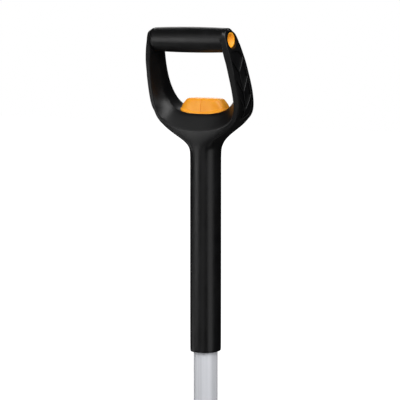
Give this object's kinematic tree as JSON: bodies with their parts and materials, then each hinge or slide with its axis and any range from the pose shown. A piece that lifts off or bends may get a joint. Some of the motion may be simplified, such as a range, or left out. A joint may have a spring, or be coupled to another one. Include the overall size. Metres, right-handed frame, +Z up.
{
  "type": "telescopic digging shovel",
  "caption": "Telescopic digging shovel: D handle with a cross grip, release button in the crotch, sliding tube locked by a wedge, dished blade with foot treads.",
  "frame": {"origin": "underside of the grip at its middle, where a hook holds the shovel", "axes": "+Z up the shaft from the blade to the grip, +X along the grip, -Y the front, which the blade's dish faces"},
  "size_m": [0.2158, 0.0722, 1.049],
  "materials": {
    "fork_moulding": "glass filled nylon, fine satin texture",
    "grip_rubber": "soft black grip",
    "orange_plastic": "satin orange",
    "silver_tube": "satin anodised",
    "bright_steel": "zinc plated",
    "bearing_plastic": "natural acetal",
    "seal_rubber": "moulded rubber",
    "blade_steel": "black powder coat"
  },
  "bodies": {
    "handle": {"handle_fork": "fork_moulding", "grip_core": "bright_steel", "grip_sleeve": "grip_rubber", "end_cap_left": "orange_plastic", "end_cap_right": "orange_plastic", "guide_bush": "bearing_plastic", "wiper_ring": "seal_rubber", "lock_carrier": "bearing_plastic", "carrier_screw_left": "bright_steel", "carrier_screw_right": "bright_steel", "spring_seat": "bright_steel", "return_spring": "bright_steel"},
    "release": {"release_button": "orange_plastic", "push_rod": "bright_steel", "rod_pin": "bright_steel", "lock_wedge": "bright_steel", "wedge_nut": "bright_steel"},
    "shoe_front": {"brake_shoe_front": "seal_rubber"},
    "shoe_back": {"brake_shoe_back": "seal_rubber"},
    "lower_shaft": {"lower_tube": "silver_tube", "top_bush": "bearing_plastic", "bush_pin_left": "bearing_plastic", "bush_pin_right": "bearing_plastic", "blade_socket": "blade_steel", "socket_rivet_upper": "bright_steel", "socket_rivet_lower": "bright_steel", "blade_rivet_upper": "bright_steel", "blade_rivet_lower": "bright_steel", "blade": "blade_steel", "tread_left": "blade_steel", "tread_right": "blade_steel"}
  },
  "joints": [
    {"name": "shaft_slide", "type": "slide", "parent": "handle", "child": "lower_shaft", "axis": [0, 0, -1], "range_m": [0, 0.2]},
    {"name": "button_press", "type": "slide", "parent": "handle", "child": "release", "axis": [0, 0, -1], "range_m": [0, 0.006], "stiffness_N_per_m": 1500, "springref_m": -0.004, "deforming": ["return_spring"]},
    {"name": "shoe_front_slide", "type": "slide", "parent": "handle", "child": "shoe_front", "axis": [0, 1, 0], "range_m": [0, 0.0015]},
    {"name": "shoe_back_slide", "type": "slide", "parent": "handle", "child": "shoe_back", "axis": [0, -1, 0], "range_m": [0, 0.0015]}
  ],
  "couplings": [
    {"joint": "shoe_front_slide", "follows": "button_press", "ratio": 0.25},
    {"joint": "shoe_back_slide", "follows": "button_press", "ratio": 0.25}
  ]
}
